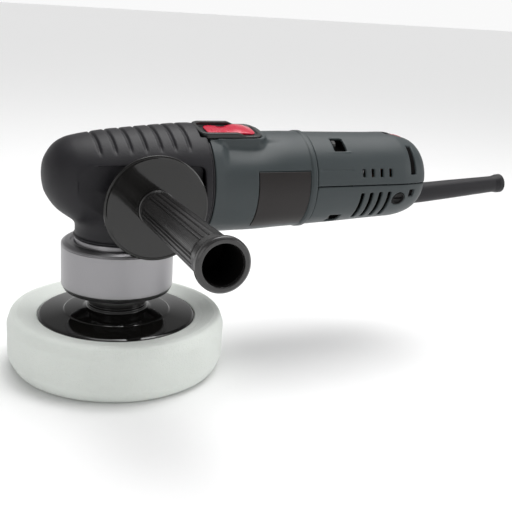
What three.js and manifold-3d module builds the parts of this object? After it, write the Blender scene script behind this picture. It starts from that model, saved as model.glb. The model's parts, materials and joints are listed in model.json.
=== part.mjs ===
// Dual action polisher: right-angle gear head, orbiting foam pad, motor housing and screw-on side handle.
// Millimetres. Origin on the gear head's spindle axis at the pad's working face, +Z up, +X to the rear
// of the motor, -Y to the side handle.
import * as THREE from 'three';
import { mergeVertices } from 'three/addons/utils/BufferGeometryUtils.js';
import Module from 'manifold-3d';

const wasm = await Module();
wasm.setup();

// ---- Driving dimensions ----
const GAP = 0.3; // between touching pieces
const MOTOR_Z = 131; // motor axis above the working face
const PAD_R = 76;
const PAD_H = 39.2; // thickness of the foam at its rim
const PLATE_R = 54.9;
const PLATE_Z = 35.2; // underside of the backing plate
const ORBIT_OFFSET = 4; // an 8 mm orbit
const ORBIT_ANGLE = THREE.MathUtils.degToRad(-102);
const SHROUD_R = 39;
const SHROUD_Z = 54.6; // lower rim of the shroud
const NECK_Z = 99.2; // joint between the shroud and the gear case
const BOOT_END = 55.2; // rear edge of the rubber boot
const HOUSING_START = 57.2;
const COVER_START = 134.5; // joint between the motor housing and the rear covers
const COVER_SPLIT_Z = 130.6;
const WALL = 3;
const HANDLE = { x: 15.6, z: 120.5, guardFace: -41, length: 123.7 };
const BRUSH = { x: 206.8, tilt: THREE.MathUtils.degToRad(22), capR: 5.2 };
const SHELL_SIDES = 24; // facets round the large shells
const SIDES = 12; // facets round the small turned pieces
const SWITCH_TILT = THREE.MathUtils.degToRad(10); // the switch leans towards the side handle
const SEAT_FLAT = 31.5; // flat sides of the gear head behind the handle seats
const SEAT_TOP = 147; // upper edge of those flats
const DIAL = { x: 215.5, z: 152.5, r: 10, halfWidth: 4.6 };
const SLEEVE = { x: 246, z: 115.9, tilt: THREE.MathUtils.degToRad(4.4), boreR: 3.8 };
const SCREW = { ring: 30.2, shankR: 1.8, headR: 3.4, pocket: 152.6 };
const SCREW_ANGLES = [60, 120, 240, 300].map(THREE.MathUtils.degToRad);
const GEAR_TEETH = 28;
const PINION_TEETH = 7;
const GEAR_CONE = 26; // pitch-cone length at the outer end of the teeth
const FACE_WIDTH = 7;

// Colours and finishes: colour, roughness, metalness
const RUBBER = [0x2a2a2c, 0.75, 0];
const GREY_PLASTIC = [0x48525a, 0.5, 0];
const BLACK_PLASTIC = [0x141414, 0.3, 0];
const RED_PLASTIC = [0xc01830, 0.35, 0];
const CAST_ALUMINIUM = [0xa4a5a8, 0.4, 1];
const STEEL = [0x8c8f94, 0.35, 1];
const COPPER = [0xb0683a, 0.4, 1];
const CARBON = [0x202020, 0.8, 0];
const FOAM = [0xe6ebe6, 0.95, 0];
const LOOP_FABRIC = [0x303236, 0.95, 0];
const CIRCUIT = [0x2c5a3c, 0.6, 0];

const polisher = new THREE.Group();

// ---- Solids ----
function solid(geometry) {
  const bare = geometry.clone();
  bare.deleteAttribute('normal');
  bare.deleteAttribute('uv');
  const merged = mergeVertices(bare, 1e-4);
  return new wasm.Manifold(new wasm.Mesh({
    numProp: 3,
    vertProperties: merged.attributes.position.array,
    triVerts: new Uint32Array(merged.index.array),
  }));
}

function geometryOf(manifold) {
  const mesh = manifold.getMesh();
  const geometry = new THREE.BufferGeometry();
  geometry.setAttribute('position', new THREE.BufferAttribute(mesh.vertProperties, 3));
  geometry.setIndex(new THREE.BufferAttribute(mesh.triVerts, 1));
  return geometry;
}

function join(...geometries) {
  return geometryOf(geometries.map(solid).reduce((sum, next) => sum.add(next)));
}

function cut(geometry, ...tools) {
  return geometryOf(tools.map(solid).reduce((rest, tool) => rest.subtract(tool), solid(geometry)));
}

function overlap(a, b) {
  return geometryOf(solid(a).intersect(solid(b)));
}

function add(name, geometry, [colour, roughness, metalness], parent = polisher) {
  const material = new THREE.MeshStandardMaterial({ color: colour, roughness, metalness });
  const mesh = new THREE.Mesh(geometry, material);
  mesh.name = name;
  parent.add(mesh);
  return mesh;
}

// A turned shape about Z from (radius, height) points that run anticlockwise.
function turned(points, segments = SIDES) {
  const profile = points.map(([r, h]) => new THREE.Vector2(r, h));
  return new THREE.LatheGeometry(profile, segments).rotateX(Math.PI / 2);
}

function closedTurned(points, segments) {
  return turned([...points, points[0]], segments);
}

// The same about the motor axis, from (radius, x) points.
function onMotorAxis(geometry) {
  return geometry.rotateY(Math.PI / 2).translate(0, 0, MOTOR_Z);
}

function box(x0, x1, y0, y1, z0, z1) {
  return new THREE.BoxGeometry(x1 - x0, y1 - y0, z1 - z0)
    .translate((x0 + x1) / 2, (y0 + y1) / 2, (z0 + z1) / 2);
}

function rod(radius, z0, z1, segments = SIDES) {
  return turned([[0, z0], [radius, z0], [radius, z1], [0, z1]], segments);
}

function ring(inner, outer, z0, z1, segments = SIDES) {
  return closedTurned([[inner, z0], [outer, z0], [outer, z1], [inner, z1]], segments);
}

// A closed skin through oval sections [x, centre z, half width y, half height z].
function loft(sections, sides = SHELL_SIDES) {
  const points = [];
  const faces = [];
  for (const [x, z, halfY, halfZ] of sections) {
    for (let j = 0; j < sides; j++) {
      const a = (2 * Math.PI * j) / sides;
      points.push(x, halfY * Math.cos(a), z + halfZ * Math.sin(a));
    }
  }
  const last = sections.length - 1;
  for (let i = 0; i < last; i++) {
    for (let j = 0; j < sides; j++) {
      const a = i * sides + j;
      const b = i * sides + ((j + 1) % sides);
      faces.push(a, b, a + sides, b, b + sides, a + sides);
    }
  }
  const front = points.length / 3;
  points.push(sections[0][0], 0, sections[0][1], sections[last][0], 0, sections[last][1]);
  for (let j = 0; j < sides; j++) {
    const next = (j + 1) % sides;
    faces.push(front, next, j, front + 1, last * sides + j, last * sides + next);
  }
  const geometry = new THREE.BufferGeometry();
  geometry.setAttribute('position', new THREE.Float32BufferAttribute(points, 3));
  geometry.setIndex(faces);
  return geometry;
}

function grown(sections, by, startBy = 0, endBy = 0) {
  const last = sections.length - 1;
  return sections.map(([x, z, halfY, halfZ], i) => {
    const shift = i === 0 ? startBy : i === last ? endBy : 0;
    return [x + shift, z, halfY + by, halfZ + by];
  });
}

// A rounded plate, seen from above, between two heights.
function stadium(x0, x1, halfY, z0, z1, corner = halfY) {
  const shape = new THREE.Shape();
  shape.moveTo(x0 + corner, -halfY).lineTo(x1 - corner, -halfY);
  shape.absarc(x1 - corner, -halfY + corner, corner, -Math.PI / 2, 0, false);
  shape.absarc(x1 - corner, halfY - corner, corner, 0, Math.PI / 2, false);
  shape.absarc(x0 + corner, halfY - corner, corner, Math.PI / 2, Math.PI, false);
  shape.absarc(x0 + corner, -halfY + corner, corner, Math.PI, 1.5 * Math.PI, false);
  const extrusion = { depth: z1 - z0, bevelEnabled: false, curveSegments: 4 };
  return new THREE.ExtrudeGeometry(shape, extrusion).translate(0, 0, z0);
}

// Turns a piece made at angle 0 (towards -Y, level with the motor axis) about the motor axis.
function aroundMotor(geometry, angle) {
  return geometry.translate(0, 0, -MOTOR_Z).rotateX(-angle).translate(0, 0, MOTOR_Z);
}

function tiltedSwitch(geometry) {
  return aroundMotor(geometry, -SWITCH_TILT);
}

// ---- Orbiting pad, on the pad axis ----
function buildPad() {
  const pad = new THREE.Group();
  const x = ORBIT_OFFSET * Math.cos(ORBIT_ANGLE);
  const y = ORBIT_OFFSET * Math.sin(ORBIT_ANGLE);
  pad.position.set(x, y, 0);
  const foamFloor = PLATE_Z - 2.2;
  const foamSeat = PLATE_Z - GAP;
  add('foam_pad', turned([
    [0, 0], [70.5, 0], [74.4, 3], [PAD_R, 14], [PAD_R, 30], [74.6, 36], [71, PAD_H], [66.5, PAD_H - 0.4],
    [PLATE_R + 1.2, foamSeat], [52.4, foamSeat], [52.4, foamFloor], [0, foamFloor],
  ], 32), FOAM, pad);
  add('hook_and_loop_disc', ring(9, 52, foamFloor + GAP, foamSeat, 24), LOOP_FABRIC, pad);
  add('backing_plate', closedTurned([
    [8.3, PLATE_Z], [PLATE_R, PLATE_Z], [PLATE_R, 36.6], [53.6, 37.8], [46, 38.8], [30, 40.6],
    [21.8, 41.8], [20.8, 43], [20.8, 49.4], [19.8, 50.5], [4.3, 50.5], [4.3, 41.3], [8.3, 41.3],
  ], 24), BLACK_PLASTIC, pad);
  add('plate_stud', turned([[0, 36], [7.9, 36], [7.9, 41], [4, 41], [4, 66], [0, 66]]), STEEL, pad);
  const flats = [1, -1].map((side) => box(-20, 20, side > 0 ? 11 : -20, side > 0 ? 20 : -11, 50, 56));
  add('pad_spindle', cut(turned([
    [0, 69], [4.3, 69], [4.3, 50.8], [13, 50.8], [13, 56], [9.5, 56.5], [9.5, 59.7], [7.5, 59.7],
    [7.5, 79], [0, 79],
  ]), ...flats), STEEL, pad);
  add('pad_retaining_ring', ring(7.8, 10, 75.6, 77), STEEL, pad);
  polisher.add(pad);
  return { x, y };
}

// ---- Bevel gears: teeth taper to the point where the two axes cross ----
// Loops of equal length are joined into one ring: bore, inner tooth ends, outer tooth ends, back, bore.
function bevelGear({ teeth, mate, boreR, bore, back, phase }) {
  const pitch = Math.atan2(teeth, mate);
  const module = (2 * GEAR_CONE * Math.sin(pitch)) / teeth;
  const tip = pitch + Math.atan((0.75 * module) / GEAR_CONE);
  const root = pitch - Math.atan((1.15 * module) / GEAR_CONE);
  const flanks = [[-0.31, root], [-0.14, tip], [0.14, tip], [0.31, root]];
  const loops = [];
  const circle = (r, h) => (azimuth) => [r * Math.cos(azimuth), r * Math.sin(azimuth), h];
  const toothed = (length) => (azimuth, angle) => [
    length * Math.sin(angle) * Math.cos(azimuth),
    length * Math.sin(angle) * Math.sin(azimuth),
    length * Math.cos(angle),
  ];
  const makers = [circle(boreR, bore[0]), toothed(GEAR_CONE - FACE_WIDTH), toothed(GEAR_CONE),
    ...back.map(([r, h]) => circle(r, h)), circle(boreR, bore[1])];
  for (const maker of makers) {
    const loop = [];
    for (let tooth = 0; tooth < teeth; tooth++) {
      for (const [place, angle] of flanks) {
        loop.push(maker(phase + (2 * Math.PI * (tooth + place)) / teeth, angle));
      }
    }
    loops.push(loop);
  }
  const count = loops[0].length;
  const faces = [];
  for (let i = 0; i < loops.length; i++) {
    const next = (i + 1) % loops.length;
    for (let j = 0; j < count; j++) {
      const k = (j + 1) % count;
      faces.push(i * count + j, i * count + k, next * count + j);
      faces.push(i * count + k, next * count + k, next * count + j);
    }
  }
  const geometry = new THREE.BufferGeometry();
  geometry.setAttribute('position', new THREE.Float32BufferAttribute(loops.flat(2), 3));
  geometry.setIndex(faces);
  return geometry;
}

// ---- Spindle, counterweight and their bearings ----
function buildSpindle(padAxis) {
  add('spindle_shaft', turned([
    [0, 81.2], [7, 81.2], [7, 99.6], [9, 99.6], [9, 111.8], [7, 111.8], [7, 147.4], [5, 147.4],
    [5, 156.5], [0, 156.5],
  ]), STEEL);
  const gear = bevelGear({
    teeth: GEAR_TEETH, mate: PINION_TEETH, boreR: 7.3, phase: 0,
    bore: [5.6, 18.8], back: [[24.2, 11.6]],
  });
  add('bevel_gear', gear.rotateX(Math.PI), STEEL).position.z = MOTOR_Z;
  const lobe = new THREE.Shape();
  const away = ORBIT_ANGLE + Math.PI;
  lobe.moveTo(0, 0);
  lobe.absarc(0, 0, 33.5, away - 1.25, away + 1.25, false);
  const lobeSolid = new THREE.ExtrudeGeometry(lobe, { depth: 22, bevelEnabled: false, curveSegments: 8 });
  const onPadAxis = (geometry) => geometry.translate(padAxis.x, padAxis.y, 0);
  add('counterweight', cut(
    join(onPadAxis(rod(20, 59.5, 83, 20)), lobeSolid.translate(0, 0, 60.5), rod(13, 80, 85.6)),
    onPadAxis(rod(16.3, 58, 75.9)),
    onPadAxis(rod(11, 75, 80.8)),
    rod(7.3, 80, 90),
  ), STEEL);
  add('pad_bearing', onPadAxis(ring(7.8, 16, 60, 75)), STEEL);
  add('spindle_lower_bearing', ring(7.3, 16.1, 90, 98.8), STEEL);
  add('spindle_upper_bearing', ring(5.3, 11, 148.4, 156.6), STEEL);
}

// ---- Shroud over the counterweight ----
function buildShroud() {
  const shell = closedTurned([
    [35, SHROUD_Z], [37.6, SHROUD_Z + 0.8], [SHROUD_R, SHROUD_Z + 3.6], [SHROUD_R, 86.2], [38.3, 88],
    [36.2, 89.4], [33, 89.8], [32.4, 88.4], [30.2, 88.4], [29.6, 92], [27.6, 94.4], [27.2, 98.9],
    [16.4, 98.9], [16.4, 86.4], [33.5, 86.4], [36, 84], [36, SHROUD_Z + 1.6],
  ], SHELL_SIDES);
  const places = [90, 210, 330].map(THREE.MathUtils.degToRad);
  const at = (geometry, angle) => geometry.translate(22 * Math.cos(angle), 22 * Math.sin(angle), 0);
  add('shroud', cut(shell, ...places.map((angle) => at(rod(2.2, 80, 100, 10), angle))), CAST_ALUMINIUM);
  const screw = () => turned([[0, 86.5], [1.9, 86.5], [1.9, 108], [0, 108]], 10);
  const head = () => rod(3.3, 86.1 - 2.2, 86.1, 10);
  places.forEach((angle, i) => {
    add(`shroud_screw_${i + 1}`, at(join(screw().translate(0, 0, -0.6), head()), angle), STEEL);
  });
  return places.map((angle) => at(rod(2.2, 97, 109, 10), angle));
}

// ---- Gear case and its rubber boot ----
const BOOT = [
  [-51.8, 136, 5, 6], [-50.8, 136, 9.5, 10], [-48.6, 135.8, 15.2, 14.6], [-42.6, 135.4, 23.4, 22.2],
  [-36, 134.6, 28.2, 26.6], [-29.4, 133.3, 31.3, 29.6], [-20, 132, 33.8, 32.6], [-9.3, 131.3, 35.4, 34.9],
  [4.3, MOTOR_Z, 36.6, 36.5], [18.2, MOTOR_Z, 37.7, 37.8], [32.3, MOTOR_Z, 38.4, 39],
  [46.7, MOTOR_Z, 38.8, 39.8], [BOOT_END, MOTOR_Z, 38.6, 39.6],
];

function buildGearHead(screwHoles) {
  const inside = (sections, by) => sections.map(([x, z, y, h]) => [x + (x < 0 ? by : 0), z, y - by, h - by]);
  const skin = 3.2;
  const outer = BOOT.filter((section, i) => i % 2 === 0).slice(1);
  const endAt = (sections, x) => [...sections.slice(0, -1), [x, ...sections.at(-1).slice(1)]];
  const caseOuter = endAt(inside(outer, skin + GAP), 49);
  const web = 33; // front of the wall that holds the front bearing
  const caseInner = inside(outer, skin + GAP + WALL).filter(([x]) => x < web);
  const seatFlat = SEAT_FLAT - skin - GAP; // flat side of the case under the boot
  const narrow = (by) => box(-60, 60, -by, by, 60, 180);
  const caseCavity = overlap(loft([...caseInner, [web, MOTOR_Z, 31, 31]]), narrow(seatFlat - 2.2));
  const sides = (flat, top) => [box(-40, 60, -60, -flat, 60, top), box(-40, 60, flat, 60, 60, top)];
  const bossEnd = -HANDLE.guardFace - 3.9;
  const handleSeats = (radius, from, to) => [1, -1].map((side) => (
    rod(radius, from, to).rotateX((side * Math.PI) / 2).translate(HANDLE.x, 0, HANDLE.z)));
  const flatTop = SEAT_TOP + skin; // the flats end higher on the inside of the boot
  const head = cut(loft(caseOuter), rod(41, 60, NECK_Z, SHELL_SIDES), ...sides(seatFlat, flatTop + GAP));
  add('gear_case', cut(
    join(
      cut(join(head, rod(25.6, NECK_Z, 128)), caseCavity, rod(20.5, 103, 131)),
      overlap(rod(14.5, 146, 165), loft(caseOuter)),
      ...handleSeats(10.5, seatFlat - 1.5, bossEnd),
    ),
    rod(9.5, 90, 110),
    rod(11.3, 140, 156.9),
    ...handleSeats(4.3, 24, 60),
    onMotorAxis(rod(13.3, 30, 60)),
    onMotorAxis(rod(26, 44, 60)),
    ...screwHoles,
  ), CAST_ALUMINIUM);

  const neck = turned([
    [0, NECK_Z + GAP], [29.6, NECK_Z + GAP], [29.9, 104], [30.8, 111], [33, 124], [0, 124],
  ], SHELL_SIDES);
  const hollow = join(
    cut(
      loft(endAt(inside(outer, skin), 60)),
      ...sides(SEAT_FLAT - skin, flatTop),
    ),
    rod(25.9, 90, 128),
  );
  add('gear_case_boot', cut(
    join(cut(loft(BOOT), rod(41, 60, NECK_Z + GAP, SHELL_SIDES)), neck),
    hollow,
    ...sides(SEAT_FLAT, SEAT_TOP).map((side) => overlap(side, box(-40, 50, -80, 80, 60, 180))),
    ...handleSeats(11.2, 24, 60),
    tiltedSwitch(box(50.8, 60, -14.6, 14.6, 165.4, 180)),
  ), RUBBER);
  add('front_bearing', onMotorAxis(ring(5.3, 13, 33.3, 43.6)), STEEL);
}

// ---- Motor housing, baffle, switch ----
const HOUSING = [
  [HOUSING_START, 130.6, 37.3, 37.6], [66, 130.2, 36.2, 37], [80, 129.6, 35.6, 36.2], [97, 129.3, 35.2, 35.8],
  [116, 129.8, 35, 35.3], [131.4, 130, 34.9, 35], [131.6, 130, 35.4, 35.5], [135.4, 130, 35.4, 35.5],
  [135.6, 130, 33.2, 33.2], [138.6, 130, 33, 33],
];
const COVER = [
  [COVER_START + 1.4, 130.1, 34.5, 34.5], [163, 130.6, 33.8, 33.8], [190, 131.3, 33.1, 33],
  [209, 131.8, 32.7, 32.6], [218, 131.3, 31.4, 30.9], [225, 131.3, 29.6, 28.6], [230, 131.6, 26.6, 25.2],
  [232.6, 131.8, 22.6, 21.2], [233.8, 132, 16.6, 15.4],
];

function buildMotorHousing() {
  const shell = cut(
    join(loft(HOUSING), tiltedSwitch(stadium(57.6, 101, 15.6, 150, 166.4, 8))),
    loft([[50, 130.6, 34.3, 34.6], [66, 130.2, 33.2, 34], [97, 129.3, 32.2, 32.6], [131, 130, 31.6, 31.8],
      [140, 130, 30.2, 30.2]]),
  );
  const ribs = SCREW_ANGLES.map((angle) => aroundMotor(box(112, 130, -34, -28.1, 128.2, 133.8), angle));
  const bores = SCREW_ANGLES.map((angle) => aroundMotor(
    onMotorAxis(rod(2.2, 108, 140, 10)).translate(0, -SCREW.ring, 0), angle));
  const band = (by) => loft(grown(HOUSING.slice(0, 6), by));
  const window = (margin, side) => box(90 - margin, 130.4 + margin, side < 0 ? -60 : 15, side < 0 ? -15 : 60,
    101.5 - margin, 142.2 + margin);
  const recess = (side) => overlap(cut(band(5), band(-1.1)), window(0, side));
  const slot = tiltedSwitch(box(67.5, 80.8, -4.6, 4.6, 155, 170));
  const rodNotch = tiltedSwitch(box(130, 140, -4.5, 4.5, 157, 162));
  const bezelSeat = tiltedSwitch(stadium(50.6, 98.4, 14.4, 165.5, 180, 7.4));
  add('motor_housing', cut(
    join(shell, ...ribs), ...bores, recess(-1), recess(1), slot, rodNotch, bezelSeat,
  ), GREY_PLASTIC);
  [[-1, 'left'], [1, 'right']].forEach(([side, name]) => {
    const plate = overlap(cut(band(0.15), band(-0.8)), window(-GAP, side));
    add(`side_panel_${name}`, plate, BLACK_PLASTIC);
  });
  add('fan_baffle', onMotorAxis(ring(24, 33, 58, 60.4)), BLACK_PLASTIC);

  const lowered = box(82, 110, -20, 20, 167.6, 180); // the rim drops behind the thumb
  const rim = cut(stadium(51, 98, 14, 165.8, 169.8, 7), stadium(54, 95.4, 11, 167, 180, 5), lowered);
  const stemSlot = box(67.5, 80.8, -4.6, 4.6, 160, 170);
  add('switch_bezel', tiltedSwitch(cut(rim, stemSlot)), BLACK_PLASTIC);
  const slider = join(
    stadium(58.4, 94.4, 9.8, 167.3, 169, 5),
    stadium(59, 70, 8, 168, 170.6, 4),
    stadium(75, 94, 9, 168, 170.9, 4.5),
    box(73.6, 79.6, -4, 4, 160.8, 168),
  );
  add('switch_slider', tiltedSwitch(slider), RED_PLASTIC);
  add('switch_rod', tiltedSwitch(box(72, 171.4, -3.2, 3.2, 158.8, 160.5)), STEEL);
  add('switch_body', tiltedSwitch(box(171.8, 196, -7.5, 7.5, 147, 159.6)), BLACK_PLASTIC);
}

// ---- Rear covers, brushes, speed control ----
function buildRear() {
  const inner = grown([...COVER.slice(0, -2), COVER.at(-1)], -WALL, -WALL, -WALL);
  const start = loft([[COVER_START - 6, 130, 33.6, 33.6], [139, 130, 33.6, 33.6]]);
  // Each screw pocket runs on from its screw towards the side of the housing.
  const pocketBox = (angle, x0, x1, y0, y1, margin) => {
    const [below, above] = Math.tan(angle) > 0 ? [9, 4.2] : [4.2, 9];
    return aroundMotor(box(x0, x1, y0, y1, MOTOR_Z - below - margin, MOTOR_Z + above + margin), angle);
  };
  const pads = SCREW_ANGLES.map((angle) => pocketBox(angle, 145, 166, -32.3, -25.2, 1.4));
  const pockets = SCREW_ANGLES.map((angle) => pocketBox(angle, SCREW.pocket, 162.4, -40, -26.6, 0));
  const bores = SCREW_ANGLES.map((angle) => aroundMotor(
    onMotorAxis(rod(2.2, 130, 154, 10)).translate(0, -SCREW.ring, 0), angle));
  const vents = [];
  for (const side of [-1, 1]) {
    const [y0, y1] = side < 0 ? [-40, -26] : [26, 40];
    const at = (angle, width, x, long) => box(x, x + width, y0, y1, -long / 2, long / 2)
      .rotateX(side * THREE.MathUtils.degToRad(angle)).translate(0, 0, MOTOR_Z);
    for (let i = 0; i < 4; i++) {
      vents.push(solid(at(15, 2.4, 172.8 + 7.6 * i, 6)));
      vents.push(solid(at(-33, 3, 173 + 7.7 * i, 25)));
    }
  }
  const atBrush = (geometry, turn) => aroundMotor(
    geometry.rotateX(Math.PI / 2).translate(BRUSH.x, 0, MOTOR_Z), turn - BRUSH.tilt);
  const brushSeats = [0, Math.PI].map((turn) => atBrush(rod(BRUSH.capR + GAP, 20, 45, 18), turn));
  const sleeveHole = alongSleeve(rod(8.6, -19.2, 20));
  const whole = join(cut(loft(COVER), loft(inner), start), ...pads);
  const flangeSeat = alongSleeve(rod(9.7, -23, -18.8));
  const trimmed = cut(whole, ...pockets, ...bores, ...brushSeats, sleeveHole, flangeSeat,
    box(204.5, 226.5, -5.6, 5.6, 148, 180));
  const vented = geometryOf(vents.reduce((rest, vent) => rest.subtract(vent), solid(trimmed)));
  const half = GAP / 2;
  const upper = box(120, 260, -60, 60, COVER_SPLIT_Z + half, 200);
  const lower = box(120, 260, -60, 60, 60, COVER_SPLIT_Z - half);
  add('rear_cover_upper', overlap(vented, upper), GREY_PLASTIC);
  add('rear_cover_lower', overlap(vented, lower), GREY_PLASTIC);

  SCREW_ANGLES.forEach((angle, i) => {
    const head = rod(SCREW.headR, SCREW.pocket + GAP, SCREW.pocket + 3, 12);
    const shank = rod(SCREW.shankR, 114, SCREW.pocket + 1, 10);
    const screw = onMotorAxis(join(head, shank)).translate(0, -SCREW.ring, 0);
    add(`cover_screw_${i + 1}`, aroundMotor(screw, angle), STEEL);
  });

  [[0, 'left'], [Math.PI, 'right']].forEach(([turn, name]) => {
    const place = (geometry) => atBrush(geometry, turn);
    const bore = box(-2.8, 2.8, -3.8, 3.8, 10, 35);
    add(`brush_holder_${name}`, place(cut(rod(6, 14.5, 28.4), bore)), BLACK_PLASTIC);
    add(`carbon_brush_${name}`, place(box(-2.5, 2.5, -3.5, 3.5, 11.4, 22)), CARBON);
    add(`brush_spring_${name}`, place(ring(1.4, 2.4, 22.3, 28.4, 12)), STEEL);
    const slot = box(-4, 4, -0.7, 0.7, 31.3, 35);
    add(`brush_cap_${name}`, place(cut(rod(BRUSH.capR, 28.7, 32.3, 18), slot)), BLACK_PLASTIC);
  });

  const dialSpin = (geometry) => geometry.rotateX(Math.PI / 2).translate(DIAL.x, 0, DIAL.z);
  add('speed_dial', dialSpin(ring(2.3, DIAL.r, -DIAL.halfWidth, DIAL.halfWidth, 24)), RED_PLASTIC);
  add('dial_axle', dialSpin(rod(2, -11, 8, 16)), STEEL);
  add('control_board', cut(
    join(
      box(225.8, 227.8, -14, 14, 125, 148), box(227.8, 229.4, -9, 9, 132, 146),
      box(219, 227, 8.3, 12, 144, 148), box(210, 221, 8.3, 12, 144, 154),
    ),
    dialSpin(rod(2.3, -20, -6)),
  ), CIRCUIT);
  add('rear_bearing', onMotorAxis(ring(5.3, 10.5, 215, 223)), STEEL);
}

function alongSleeve(geometry) {
  return geometry.rotateY(Math.PI / 2 - SLEEVE.tilt).translate(SLEEVE.x, 0, SLEEVE.z);
}

function buildCordSleeve() {
  add('cord_sleeve', alongSleeve(closedTurned([
    [SLEEVE.boreR, -22], [9, -22], [9, -19.4], [7.9, -19], [7.9, -4], [7.5, 28], [6.7, 66], [6.6, 71],
    [7.6, 73.4], [7.6, 78], [SLEEVE.boreR, 78],
  ])), RUBBER);
}

// ---- Motor ----
function buildMotor() {
  add('field_stator', onMotorAxis(ring(19.2, 27.8, 92, 144)), STEEL);
  add('field_winding_front', onMotorAxis(ring(19.8, 26, 84, 91.7)), COPPER);
  add('field_winding_rear', onMotorAxis(ring(19.8, 24.8, 144.3, 152)), COPPER);
  add('armature_shaft', onMotorAxis(turned([
    [0, 27.4], [3, 27.4], [3, 32.6], [5, 32.6], [5, 224], [0, 224],
  ])), STEEL);
  add('armature_core', onMotorAxis(ring(5.3, 18.6, 93, 143)), STEEL);
  add('armature_winding_front', onMotorAxis(ring(5.3, 17, 82, 92.7)), COPPER);
  add('armature_winding_rear', onMotorAxis(ring(5.3, 17, 143.3, 156)), COPPER);
  add('commutator', onMotorAxis(ring(5.3, 11, 199, 213)), COPPER);
  const blades = [];
  for (let i = 0; i < 9; i++) {
    const blade = box(66.5, 75, -1, 1, 9, 26.6).rotateX((2 * Math.PI * i) / 9);
    blades.push(blade.translate(0, 0, MOTOR_Z));
  }
  add('cooling_fan', join(onMotorAxis(ring(5.3, 28, 64, 67)), onMotorAxis(ring(5.3, 10, 64, 76)), ...blades),
    BLACK_PLASTIC);
  const pinion = bevelGear({
    teeth: PINION_TEETH, mate: GEAR_TEETH, boreR: 2, phase: Math.PI / PINION_TEETH,
    bore: [18.6, 27.1], back: [[6.6, 27.1]],
  });
  return pinion;
}

// ---- Side handle ----
function buildSideHandle() {
  const place = (geometry) => geometry.rotateX(Math.PI / 2).translate(HANDLE.x, 0, HANDLE.z);
  const face = -HANDLE.guardFace;
  const root = face + GAP;
  const end = face + HANDLE.length + GAP;
  add('handle_guard', place(closedTurned([
    [4.4, face - 3], [34.6, face - 3], [35.4, face - 2], [35.2, face - 0.4], [33.6, face],
    [4.4, face],
  ], 32)), BLACK_PLASTIC);
  add('handle_grip', place(turned([
    [0, root + 38], [4.3, root + 38], [4.3, root], [12.2, root], [12.4, root + 8],
    [13.4, end - 16], [14.2, end - 8], [16, end - 3.4], [15.4, end - 0.6], [14, end],
    [11.9, end], [11.6, end - 34], [0, end - 34],
  ], 24)), BLACK_PLASTIC);
  add('handle_stud', place(rod(4, 26, root + 37, 16)), STEEL);
}

const padAxis = buildPad();
buildSpindle(padAxis);
buildGearHead(buildShroud());
buildMotorHousing();
buildRear();
buildCordSleeve();
const pinion = buildMotor();
add('bevel_pinion', onMotorAxis(pinion), STEEL);
buildSideHandle();

export default polisher;
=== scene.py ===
"""Dual action polisher: detailed pieces, materials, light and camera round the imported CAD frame.

Shapes are worked out in millimetres in the row frame and scaled to metres when a mesh is made.
"""

import json
import math

import bpy
import numpy as np
from mathutils import Matrix, Vector


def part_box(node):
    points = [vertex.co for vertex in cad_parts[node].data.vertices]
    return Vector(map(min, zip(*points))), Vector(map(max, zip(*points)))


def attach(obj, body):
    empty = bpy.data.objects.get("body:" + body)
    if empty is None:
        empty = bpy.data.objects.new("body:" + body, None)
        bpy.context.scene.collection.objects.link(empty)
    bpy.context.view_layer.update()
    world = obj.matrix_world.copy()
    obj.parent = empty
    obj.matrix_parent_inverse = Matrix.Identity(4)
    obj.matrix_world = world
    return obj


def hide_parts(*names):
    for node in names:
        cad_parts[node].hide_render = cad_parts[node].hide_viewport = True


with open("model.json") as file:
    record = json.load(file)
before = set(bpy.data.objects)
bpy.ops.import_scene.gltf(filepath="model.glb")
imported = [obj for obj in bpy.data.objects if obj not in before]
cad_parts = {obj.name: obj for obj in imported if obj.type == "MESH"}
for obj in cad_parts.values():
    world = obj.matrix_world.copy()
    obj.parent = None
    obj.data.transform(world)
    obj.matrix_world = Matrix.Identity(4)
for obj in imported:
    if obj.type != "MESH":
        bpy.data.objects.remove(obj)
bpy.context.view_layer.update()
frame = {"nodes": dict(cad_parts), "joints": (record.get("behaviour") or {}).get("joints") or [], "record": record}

MM = 0.001
JOINTS = {joint["name"]: joint for joint in frame["joints"]}


def box_mm(node):
    low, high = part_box(node)
    return np.array(low) / MM, np.array(high) / MM


# ---- Driving dimensions, millimetres ----
MOTOR_Z = JOINTS["armature_spin"]["pos_m"][2] / MM
PAD_X, PAD_Y = (value / MM for value in JOINTS["pad_spin"]["pos_m"][:2])
PAD_R = (box_mm("foam_pad")[1][0] - box_mm("foam_pad")[0][0]) / 2
PAD_H = box_mm("foam_pad")[1][2]
PLATE_R = (box_mm("backing_plate")[1][0] - box_mm("backing_plate")[0][0]) / 2
PLATE_Z = box_mm("backing_plate")[0][2]
SHROUD_R = (box_mm("shroud")[1][0] - box_mm("shroud")[0][0]) / 2
SHROUD_Z = box_mm("shroud")[0][2]
BOOT_END = box_mm("gear_case_boot")[1][0]
BOOT_FLOOR = box_mm("gear_case_boot")[0][2]
HOUSING_START, HOUSING_END = box_mm("motor_housing")[0][0], box_mm("motor_housing")[1][0]
COVER_START, COVER_END = box_mm("rear_cover_upper")[0][0], box_mm("rear_cover_upper")[1][0]
COVER_SPLIT_Z = (box_mm("rear_cover_upper")[0][2] + box_mm("rear_cover_lower")[1][2]) / 2
GUARD_FACE = box_mm("handle_guard")[0][1]
GUARD_BACK = box_mm("handle_guard")[1][1]
GRIP_END = box_mm("handle_grip")[0][1]
GRIP_ROOT = box_mm("handle_grip")[1][1]
HANDLE_X, HANDLE_Z = ((box_mm("handle_guard")[0] + box_mm("handle_guard")[1]) / 2)[[0, 2]]
DIAL_X, DIAL_Z = (JOINTS["speed_dial_turn"]["pos_m"][axis] / MM for axis in (0, 2))
SWITCH_TILT = math.radians(10)  # the switch leans towards the side handle
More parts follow.
